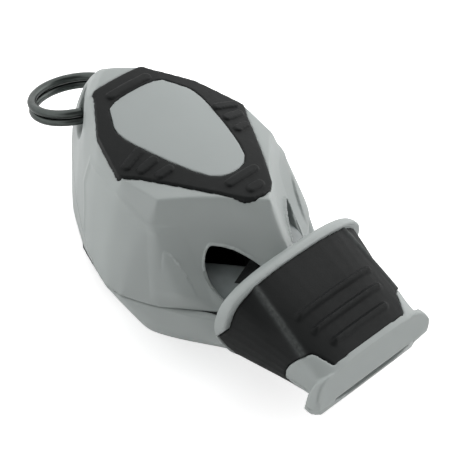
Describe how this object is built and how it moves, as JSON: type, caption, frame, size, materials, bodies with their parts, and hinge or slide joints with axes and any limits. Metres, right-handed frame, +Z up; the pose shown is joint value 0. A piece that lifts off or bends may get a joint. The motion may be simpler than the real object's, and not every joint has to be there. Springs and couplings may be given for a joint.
{
  "type": "sports whistle",
  "caption": "Pealess sports whistle with a faceted two-part body, soft grip frames, plain badge plates, a cushioned mouth grip and a swinging split ring.",
  "frame": {"origin": "middle of the flat lower badge, the face that the whistle rests on", "axes": "+X towards the mouth end, +Z up out of the upper badge"},
  "size_m": [0.0614, 0.033, 0.0232],
  "materials": {
    "grey_shell": "satin moulded",
    "grey_badge": "satin moulded",
    "black_core": "glossy moulded",
    "soft_grip": "matte moulded",
    "dark_steel": "blackened, semi gloss"
  },
  "bodies": {
    "whistle": {"upper_shell": "grey_shell", "lower_shell": "grey_shell", "chamber_core_upper": "black_core", "chamber_core_lower": "black_core", "airway_nozzle": "black_core", "top_grip_frame": "soft_grip", "bottom_grip_frame": "soft_grip", "top_badge": "grey_badge", "bottom_badge": "grey_badge", "mouth_grip": "soft_grip"},
    "ring": {"split_ring": "dark_steel"}
  },
  "joints": [
    {"name": "ring_swing", "type": "hinge", "parent": "whistle", "child": "ring", "pos_m": [-0.0141, 0, 0.0162], "axis": [0, 1, 0], "range_deg": [-22, 112]}
  ]
}
